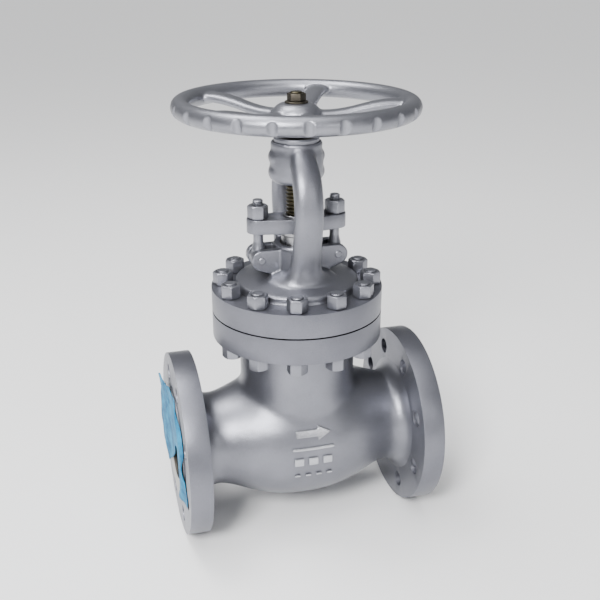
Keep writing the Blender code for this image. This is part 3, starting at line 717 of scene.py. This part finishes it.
def bonnet_casting():
    """Dome, stuffing box, ears, webs, arms and yoke hub, run together as one casting."""
    lip = BONNET_TOP + DOME_STEP
    dome = [(0.0, BOX_TOP), (BOX_R, BOX_TOP), (BOX_R, 257.0), (BOX_R + 2, 250.0),
            (BOX_R + 8, 243.5), (BOX_R + 18, 239.5), (DOME_R - 20, 236.0), (DOME_R - 6, lip + 2.6),
            (DOME_R - 1.4, lip + 1.2), (DOME_R, lip - 0.8), (DOME_R, BONNET_TOP + 2.6),
            (DOME_R + 1.6, BONNET_TOP - 0.2), (DOME_R + 1.6, 212.0), (0.0, 212.0)]
    ob = piece("bonnet_casting", turned(dome, 128), cast_paint, bore_steel)
    hub = [(0.0, YOKE_TOP), (30.3, YOKE_TOP), (30.5, HUB_LIP), (32.4, HUB_LIP - 0.6),
           (33.6, HUB_LIP - 4.0), (33.0, HUB_LIP - 8.0), (33.2, HUB_LIP - 11.0),
           (34.4, 400.0), (34.8, 388.0),
           (34.4, 375.0), (33.0, 368.0), (30.0, 364.0), (26.0, YOKE_BOTTOM), (0.0, YOKE_BOTTOM)]
    solids = [piece("hub", turned(hub, 96)), yoke_arm(-1), yoke_arm(1)]
    # Two bosses on each side of the yoke hub, one above the other.
    bm = bmesh.new()
    for side in (-1, 1):
        for z, high in BOSSES:
            bmesh.ops.create_uvsphere(bm, u_segments=32, v_segments=20, radius=1.0, matrix=(
                Matrix.Translation(Vector((side * BOSS_OUT, 0.0, z)) * MM)
                @ Matrix.Diagonal((BOSS_DEEP * MM, BOSS_WIDE * MM, high * MM, 1.0))))
    solids.append(piece("bosses", bm))
    for side in (-1, 1):
        for turn in (-1, 1):
            outline = [(8.0, 232.0), (27.0, 236.0), (30.0, 240.5)]
            for i in range(17):
                a = math.radians(-62 + 150 * i / 16)
                outline.append((EYE_X + EAR_R * math.cos(a), EYE_Z + EAR_R * math.sin(a)))
            outline += [(28.0, 277.6), (20.0, 279.5), (8.0, 279.8)]
            y0, y1 = sorted((turn * EAR_INNER, turn * EAR_OUTER))
            solids.append(slab("ear", [(side * x, z) for x, z in outline], y0, y1))
            # The web from the ear to the arm.
            web = [(27.5, 20.0), (27.5, 9.0), (6.0, 9.0), (6.0, 44.0), (17.6, 44.0), (18.6, 40.0)]
            solids.append(slab("web", [(side * x, turn * y) for x, y in web], 228.0, 277.5,
                               upright=False))
    boolean(ob, solids, "UNION")
    bores = piece("bores", turned([
        (0.0, BOX_TOP + 15), (BOX_BORE_R, BOX_TOP + 15), (BOX_BORE_R, BOX_FLOOR),
        (BOX_BORE_R + 1.6, BOX_FLOOR), (BOX_BORE_R + 1.6, 200.0), (0.0, 200.0)], 64))
    yoke_bore = rods("yoke_bore", YOKE_BORE_R, 90.0, [(0, 0, 390.0)], sides=64)
    boolean(ob, [bores, yoke_bore])
    cast(ob, 1.3, 5)
    # Wide radii at the arms' feet and where they run into the hub.
    melt(ob, 60, lambda x, y, z: 0.0 if abs(y) < 24 else max(
        math.exp(-((z - 238) / 9.0) ** 2) if abs(x) < 44 and abs(y) < 62 else 0.0,
        math.exp(-((z - 398) / 16.0) ** 2)))
    melt(ob, 12, lambda x, y, z: float(355 < z < 410 and abs(x) > 24))
    for poly in ob.data.polygons:
        x, y, z = poly.center / MM
        poly.material_index = int(math.hypot(x, y) < YOKE_BORE_R + 0.7)
    return stands_for(ob, "valve_body", "cast_paint", "bonnet")


# --- fasteners ---
def nut_mesh(across_flats, height, hole_r, edge=0.3):
    """A heavy hexagon nut with a 30 degree chamfer round both faces, standing on z = 0."""
    corner = across_flats / math.sqrt(3)
    flat = across_flats / 2
    rise = (corner - flat * 0.95) * math.tan(math.radians(30))
    bm = bmesh.new()
    rod(bm, corner + 0.02, height, (0, 0, height / 2), sides=6)
    ob = piece("nut", bm)
    cone = piece("cone", turned([
        (0.0, height), (flat * 0.95, height), (corner + 0.1, height - rise),
        (corner + 0.1, rise), (flat * 0.95, 0.0), (0.0, 0.0)], 72))
    boolean(ob, [cone], "INTERSECT")
    bore = piece("bore", turned([
        (0.0, height + 1), (hole_r + 1.9, height + 1), (hole_r, height - 0.9), (hole_r, 0.9),
        (hole_r + 1.9, -1.0), (0.0, -1.0)], 36))
    boolean(ob, [bore])
    soften(ob, edge, 2, angle=24.0)
    mesh = ob.data
    bpy.data.objects.remove(ob, do_unlink=True)
    return mesh


def stud_mesh(radius, low, high, plain_low, plain_high, pitch=2.0):
    """A stud with a rolled thread at both ends and a plain shank between."""
    bm = thread(radius, 1.15, pitch, low, plain_low, crest=0.12, steps=28,
                chamfer=(True, False))
    merge_in(bm, thread(radius, 1.15, pitch, plain_high, high, crest=0.12, steps=28,
                        chamfer=(False, True)))
    merge_in(bm, turned([(0.0, plain_high + 0.5), (radius - 0.6, plain_high + 0.5),
                         (radius - 0.6, plain_low - 0.5), (0.0, plain_low - 0.5)], 28))
    mesh = bpy.data.meshes.new("stud")
    bm.to_mesh(mesh)
    bm.free()
    mesh.shade_smooth()
    mesh.set_sharp_from_angle(angle=math.radians(40))
    return mesh


def bonnet_fasteners():
    """Twelve studs through the joint, each with two nuts."""
    nut = nut_mesh(NUT_AF, NUT_H, STUD_R + 0.1)
    low, high = span("bonnet_stud_01", 2)
    stud = stud_mesh(STUD_R, low, high, low + 7.5, high - 7.5)
    top = span("bonnet_nut_top_01", 2)[0] - 0.2
    bottom = span("bonnet_nut_bottom_01", 2)[0] + 0.2
    for k, (x, y) in enumerate(ring_spots(12, STUD_PITCH_R)):
        tag = f"{k + 1:02d}"
        spot = Matrix.Translation(Vector((x, y, 0.0)) * MM)
        # Each nut stopped where it was tight, so neighbours point different ways.
        for part, height, turn in (("top", top, 37.0 * k + 11.0), ("bottom", bottom, 23.0 * k)):
            at = spot @ Matrix.Translation((0, 0, height * MM)) @ Matrix.Rotation(
                math.radians(turn % 60), 4, "Z")
            ob = place(f"joint_nut_{part}_{tag}", nut, at, nut_paint)
            stands_for(ob, "valve_body", "fastener_paint", f"bonnet_nut_{part}_{tag}")
        ob = place(f"joint_stud_{tag}", stud,
                   spot @ Matrix.Rotation(math.radians(50.0 * k), 4, "Z"), nut_paint)
        stands_for(ob, "valve_body", "fastener_paint", f"bonnet_stud_{tag}")


# --- gland ---
def gland_parts():
    """Gland follower, its bar, and the eyebolts, pins and nuts."""
    low, high = span("gland", 2)
    ob = piece("gland_follower", turned([
        (STEM_R + 0.5, high), (16.6, high), (17.2, high - 0.6), (17.2, BAR_LOW - 0.3),
        (23.4, BAR_LOW - 0.3), (24.0, BAR_LOW - 0.9), (24.0, BAR_LOW - 4.6),
        (22.5, BAR_LOW - 6.0), (BOX_BORE_R - 0.5, BAR_LOW - 7.0), (BOX_BORE_R - 0.5, low + 0.8),
        (BOX_BORE_R - 1.3, low), (STEM_R + 0.5, low)], 72, ring=True), gland_steel)
    stands_for(ob, "gland_assembly", "gland_steel", "gland")

    bm = bmesh.new()
    for x, radius in ((-EYE_X, 15.0), (0.0, 25.0), (EYE_X, 15.0)):
        bmesh.ops.create_circle(bm, segments=64, radius=radius * MM,
                                matrix=Matrix.Translation((x * MM, 0.0, BAR_LOW * MM)))
    copy = bmesh.ops.duplicate(bm, geom=bm.verts[:])["geom"]
    bmesh.ops.translate(bm, vec=(0.0, 0.0, (BAR_HIGH - BAR_LOW) * MM),
                        verts=[g for g in copy if isinstance(g, bmesh.types.BMVert)])
    hull = bmesh.ops.convex_hull(bm, input=bm.verts[:])
    spare = {g for g in hull["geom_interior"] + hull["geom_unused"]
             if isinstance(g, bmesh.types.BMVert)}
    bmesh.ops.delete(bm, geom=list(spare), context="VERTS")
    bmesh.ops.dissolve_limit(bm, angle_limit=0.002, verts=bm.verts[:], edges=bm.edges[:])
    bmesh.ops.recalc_face_normals(bm, faces=bm.faces)
    ob = piece("gland_bar", bm, cast_paint)
    middle = (BAR_LOW + BAR_HIGH) / 2
    boolean(ob, [rods("bar_bore", 17.7, 40.0, [(0, 0, middle)]),
                 rods("bar_holes", EYEBOLT_R + 0.6, 40.0,
                      [(-EYE_X, 0, middle), (EYE_X, 0, middle)], sides=32)])
    soften(ob, 0.9, 2)
    stands_for(ob, "gland_assembly", "cast_paint", "gland_flange")

    nut = nut_mesh(NUT_AF, NUT_H, EYEBOLT_R + 0.1)
    for tag, side in (("left", -1), ("right", 1)):
        x = side * EYE_X
        # A forged eye that tapers into the shank, then the rolled thread.
        eye = piece("eye", turned([
            (5.4, 8.0), (10.6, 8.0), (11.6, 7.2), (EYE_R, 5.8), (EYE_R, -5.8), (11.6, -7.2),
            (10.6, -8.0), (5.4, -8.0)], 48, ring=True))
        eye.data.transform(Matrix.Translation((x * MM, 0, EYE_Z * MM)) @ AXIS_TURN["Y"])
        bm = turned([(0.0, 304.0), (EYEBOLT_R - 0.4, 304.0), (EYEBOLT_R - 0.4, 286.0),
                     (EYEBOLT_R + 0.6, 281.0), (EYEBOLT_R + 2.2, 275.0), (EYEBOLT_R + 2.2, 272.0),
                     (0.0, 272.0)], 36)
        bmesh.ops.translate(bm, verts=bm.verts, vec=(x * MM, 0, 0))
        shank = piece("shank", bm)
        boolean(eye, [shank], "UNION")
        cast(eye, 0.8, 3)
        bm = thread(EYEBOLT_R, 1.15, 2.0, 302.0, EYEBOLT_TOP, crest=0.12, steps=28)
        bmesh.ops.translate(bm, verts=bm.verts, vec=(x * MM, 0, 0))
        bm.from_mesh(eye.data)
        bpy.data.objects.remove(eye, do_unlink=True)
        ob = piece(f"eyebolt_forging_{tag}", bm, nut_paint, sharp=40)
        stands_for(ob, "valve_body", "fastener_paint", f"eyebolt_{tag}")

        y_low, y_high = span(f"eyebolt_pin_{tag}", 1)
        bm = turned([(0.0, y_high), (3.9, y_high), (5.0, y_high - 1.0), (5.0, y_low + 1.0),
                     (3.9, y_low), (0.0, y_low)], 32)
        at = Matrix.Translation((x * MM, 0, EYE_Z * MM)) @ AXIS_TURN["Y"]
        bmesh.ops.transform(bm, matrix=at, verts=bm.verts)
        ob = piece(f"ear_pin_{tag}", bm, nut_paint)
        stands_for(ob, "valve_body", "fastener_paint", f"eyebolt_pin_{tag}")

        at = Matrix.Translation((x * MM, 0, (BAR_HIGH + 0.2) * MM)) @ Matrix.Rotation(
            math.radians(18.0 if side < 0 else 2.0), 4, "Z")
        ob = place(f"gland_hex_{tag}", nut, at, nut_paint)
        stands_for(ob, f"gland_nut_{tag}_body", "fastener_paint", f"gland_nut_{tag}")


# --- stem, yoke nut and handwheel ---
def stem_parts():
    """The stem with its thread and square, and the yoke nut round it."""
    bm = thread(STEM_R, 2.6, 5.0, 316.0, 424.8, crest=0.18, steps=48, chamfer=(False, True))
    merge_in(bm, turned([
        (0.0, 317.0), (12.6, 317.0), (STEM_R, 315.0), (STEM_R, 192.0), (19.0, 188.0),
        (19.0, 183.0), (STEM_R, 179.0), (STEM_R, 44.4), (17.4, 44.4), (17.4, 36.0), (0.0, 36.0)],
        64))
    merge_in(bm, thread(8.0, 1.15, 2.0, 457.0, STEM_TIP, crest=0.12, steps=32,
                        chamfer=(False, True)))
    square = bmesh.new()
    bmesh.ops.create_cube(square, size=1.0, matrix=(
        Matrix.Translation((0, 0, STEM_SQUARE_Z * MM)) @ Matrix.Diagonal(
            (STEM_SQUARE * MM, STEM_SQUARE * MM, STEM_SQUARE_LONG * MM, 1.0))))
    merge_in(bm, square)
    ob = piece("stem_spindle", bm, stem_steel, sharp=35)
    stands_for(ob, "stem_assembly", "stem_steel", "stem")

    top = span("yoke_nut", 2)[1]
    ob = piece("yoke_bush", turned([
        (STEM_R + 0.4, top), (26.8, top), (28.2, top - 0.5), (29.5, top - 2.2),
        (29.5, YOKE_TOP + 1.0), (28.9, YOKE_TOP + 0.3), (YOKE_BORE_R - 0.4, YOKE_TOP + 0.3),
        (YOKE_BORE_R - 0.4, 368.6), (YOKE_BORE_R - 1.0, 368.0), (STEM_R + 0.4, 368.0)], 72,
        ring=True), nut_paint, yoke_nut_metal)
    for poly in ob.data.polygons:
        x, y, z = poly.center / MM
        poly.material_index = int(math.hypot(x, y) < YOKE_BORE_R or z < YOKE_TOP)
    stands_for(ob, "valve_body", "stem_steel", "yoke_nut")


def handwheel():
    """The notched rim, dished spokes and hub, with washer and nut."""
    centre_r = WHEEL_R - RIM_R
    ob = piece("handwheel_casting", turned([
        (0.0, HUB_TOP), (16.0, HUB_TOP), (21.0, HUB_TOP - 0.6), (26.5, HUB_TOP - 4.0),
        (30.5, 455.0), (32.0, 448.0), (31.0, 437.0), (28.0, 430.0), (25.0, HUB_BOTTOM),
        (0.0, HUB_BOTTOM)], 96), wheel_paint)
    section = []
    for i in range(40):
        a = TAU * i / 40
        section.append((centre_r + RIM_R * math.cos(a), WHEEL_Z + RIM_HALF_H * math.sin(a)))
    solids = [piece("rim", turned(section, 240, ring=True))]
    path = [(14, 447.5, 13, 8.6), (30, 447.2, 13, 7.8), (48, 448.2, 12.4, 6.8),
            (68, 451.2, 12.4, 6.6), (88, 455.8, 12.8, 6.6), (108, 459.4, 14, 6.8),
            (124, 460.8, 15.5, 6.8), (136, 460.6, 17.5, 6.4), (centre_r, 460.0, 19, 6.0)]
    for k in range(SPOKES):
        turn = Matrix.Rotation(math.radians(SPOKE_TURN + 360 / SPOKES * k), 3, "Z")
        stations = [(turn @ Vector((r, 0, z)), turn @ Vector((0, w, 0)), Vector((0, 0, t)))
                    for r, z, w, t in spline(path, 28)]
        solids.append(piece("spoke", swept(stations)))
    boolean(ob, solids, "UNION")
    # Grip notches: thumb prints in the outside of the rim, deeper towards its underside.
    bm = bmesh.new()
    for k in range(NOTCHES):
        turn = math.radians(NOTCH_TURN + 360 / NOTCHES * k)
        matrix = (Matrix.Rotation(turn, 4, "Z")
                  @ Matrix.Translation(Vector((WHEEL_R + NOTCH_R - NOTCH_DEEP, 0, WHEEL_Z - 2)) * MM)
                  @ Matrix.Rotation(math.radians(12.0), 4, "Y"))
        bmesh.ops.create_cone(bm, cap_ends=True, segments=32, radius1=NOTCH_R * MM,
                              radius2=NOTCH_R * MM, depth=40 * MM, matrix=matrix)
    boolean(ob, [piece("notches", bm)])
    cast(ob, 1.2, 3)
    # Wide radii where the spokes run into the rim and the hub.
    melt(ob, 40, lambda x, y, z: max(math.exp(-((math.hypot(x, y) - 128) / 9.0) ** 2),
                                     math.exp(-((math.hypot(x, y) - 31) / 9.0) ** 2)))
    stands_for(ob, "stem_assembly", "wheel_paint", "handwheel")

    low, high = span("handwheel_washer", 2)
    ob = piece("wheel_washer", turned([
        (8.4, high), (14.4, high), (15.0, high - 0.6), (15.0, low + 0.3), (14.7, low),
        (8.4, low)], 64, ring=True), phosphate)
    stands_for(ob, "stem_assembly", "wheel_nut_steel", "handwheel_washer")
    low, high = span("handwheel_nut", 2)
    nut = nut_mesh(21.0, high - low, 8.1)
    ob = place("wheel_hex", nut, Matrix.Translation((0, 0, (low - 0.2) * MM))
               @ Matrix.Rotation(math.radians(9.0), 4, "Z"), phosphate)
    stands_for(ob, "stem_assembly", "wheel_nut_steel", "handwheel_nut")


# --- protective film ---
def protective_film():
    """What is left of the plastic film stuck over the inlet face: torn off below, with a tail."""
    # Outline on the face, (across, up) in mm, anticlockwise from the tail.
    outline = [(-92, -48), (-60, -57), (-46, -54), (-36, -38), (-33, -12), (-24, 4), (-12, 2),
               (0, -18), (20, -34), (42, -50), (60, -62), (74, -46), (84, -25), (88, 5), (86, 30),
               (78, 52), (70, 74), (52, 84), (34, 76), (16, 80), (0, 76), (-20, 80), (-38, 72),
               (-56, 62), (-72, 50), (-82, 30), (-80, 8), (-84, -12), (-96, -34)]
    points = spline([(y, z) for y, z in outline + outline[:1]], 180)

    def inside(y, z):
        odd = False
        for (y0, z0), (y1, z1) in zip(points, points[1:]):
            if (z0 > z) != (z1 > z) and y < y0 + (z - z0) * (y1 - y0) / (z1 - z0):
                odd = not odd
        return odd

    step = 2 * FILM_HALF / FILM_CELLS
    bm = bmesh.new()
    bmesh.ops.create_grid(bm, x_segments=FILM_CELLS, y_segments=FILM_CELLS,
                          size=FILM_HALF * MM)
    away = [f for f in bm.faces if not inside(*(f.calc_center_median().xy / MM))]
    bmesh.ops.delete(bm, geom=away, context="FACES")
    for vert in bm.verts:
        if vert.is_boundary:
            here = vert.co.xy / MM
            y, z = min(points, key=lambda p: (p[0] - here.x) ** 2 + (p[1] - here.y) ** 2)
            if math.hypot(y - here.x, z - here.y) < 1.5 * step:
                vert.co.x, vert.co.y = y * MM, z * MM
    for vert in bm.verts:
        y, z = vert.co.xy / MM
        r = math.hypot(y, z)
        far = min(max((y - 18) / 50, 0.0), 1.0)
        proud = 0.7 + 5.5 * far * far * (3 - 2 * far) * min(1.0, (z + 75) / 40)
        flap = min(max((z - 52) / 26, 0.0), 1.0) * min(max((y + 5) / 50, 0.0), 1.0)
        proud += 4.0 * flap
        if y < -14:
            proud += 3.2 * math.exp(-((r - 74) / 9.0) ** 2) * min(1.0, (-y - 14) / 25)
        proud += (0.5 + 1.4 * far) * noise.noise(Vector((y / 16, z / 26, 3.0)))
        proud += 0.35 * noise.noise(Vector((y / 6, z / 14, 8.0)))
        lowest = 0.45 if r < RAISED_R + 2 else 0.45 - min((r - RAISED_R - 2) / 6, 1.0) * 1.6
        if y < 0 and r > RAISED_R:
            proud -= min((r - RAISED_R) / 6, 1.0) * 1.9
        vert.co = Vector((-FACE - max(proud, lowest), y, z)) * MM
    bmesh.ops.smooth_vert(bm, verts=bm.verts, factor=0.5, use_axis_x=True, use_axis_y=False,
                          use_axis_z=False)
    ob = piece("inlet_protective_film", bm, film_plastic, sharp=80)
    thick = ob.modifiers.new("Thickness", "SOLIDIFY")
    thick.thickness = FILM_T * MM
    thick.offset = 0.0
    bake(ob)
    ob.data.shade_smooth()
    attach(ob, "valve_body")


casting = body_casting()
pipe_flange(-1)
pipe_flange(1)
joint_flange("body_joint_flange", BODY_UNDER, BODY_TOP, "body")
joint_flange("bonnet_joint_flange", BONNET_BASE, BONNET_TOP, "bonnet")
cast_marks(casting)
bonnet_casting()
bonnet_fasteners()
gland_parts()
stem_parts()
handwheel()
protective_film()

for node, mat in (
        [("bonnet_gasket", gasket_graphite), ("seat_ring", trim_steel), ("disc", trim_steel),
         ("disc_nut", trim_steel), ("backseat_bushing", trim_steel)]
        + [(f"packing_ring_{k}", packing_graphite) for k in range(1, 5)]):
    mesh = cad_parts[node].data
    mesh.materials.clear()
    mesh.materials.append(mat)


# --- floor and light ---
bm = bmesh.new()
bmesh.ops.create_grid(bm, x_segments=1, y_segments=1, size=20.0)
floor = piece("floor", bm)
floor.location = (0.0, 0.0, -FLANGE_R * MM - 0.0002)
floor_mat, _, shader, _ = new_material("matt white paper")
shader.inputs["Base Color"].default_value = srgb("#F4F4F4")
shader.inputs["Roughness"].default_value = 0.9
floor.data.materials.append(floor_mat)

world = bpy.data.worlds.new("studio")
bpy.context.scene.world = world
world.use_nodes = True
world.node_tree.nodes["Background"].inputs["Color"].default_value = srgb("#E9EBEF")
world.node_tree.nodes["Background"].inputs["Strength"].default_value = 0.28


def soft_light(name, where, target, width, height, power):
    """A rectangular lamp, in metres and watts, turned towards a point."""
    data = bpy.data.lights.new(name, "AREA")
    data.shape = "RECTANGLE"
    data.size, data.size_y, data.energy = width, height, power
    lamp = bpy.data.objects.new(name, data)
    bpy.context.scene.collection.objects.link(lamp)
    lamp.location = where
    lamp.rotation_euler = (Vector(target) - Vector(where)).to_track_quat("-Z", "Y").to_euler()


middle = (0.0, 0.0, 0.18)
soft_light("key", (-1.30, -1.90, 1.75), middle, 0.7, 0.7, 125.0)
soft_light("side", (0.75, -2.6, 1.05), middle, 0.6, 0.6, 12.0)
soft_light("overhead", (-0.8, 0.6, 2.6), middle, 1.0, 1.0, 44.0)
# One wide soft source that lights the paper evenly.
daylight = bpy.data.lights.new("daylight", "SUN")
daylight.angle = math.radians(60.0)
daylight.energy = 2.6
lamp = bpy.data.objects.new("daylight", daylight)
bpy.context.scene.collection.objects.link(lamp)
lamp.rotation_euler = (math.radians(8.0), math.radians(-14.0), 0.0)
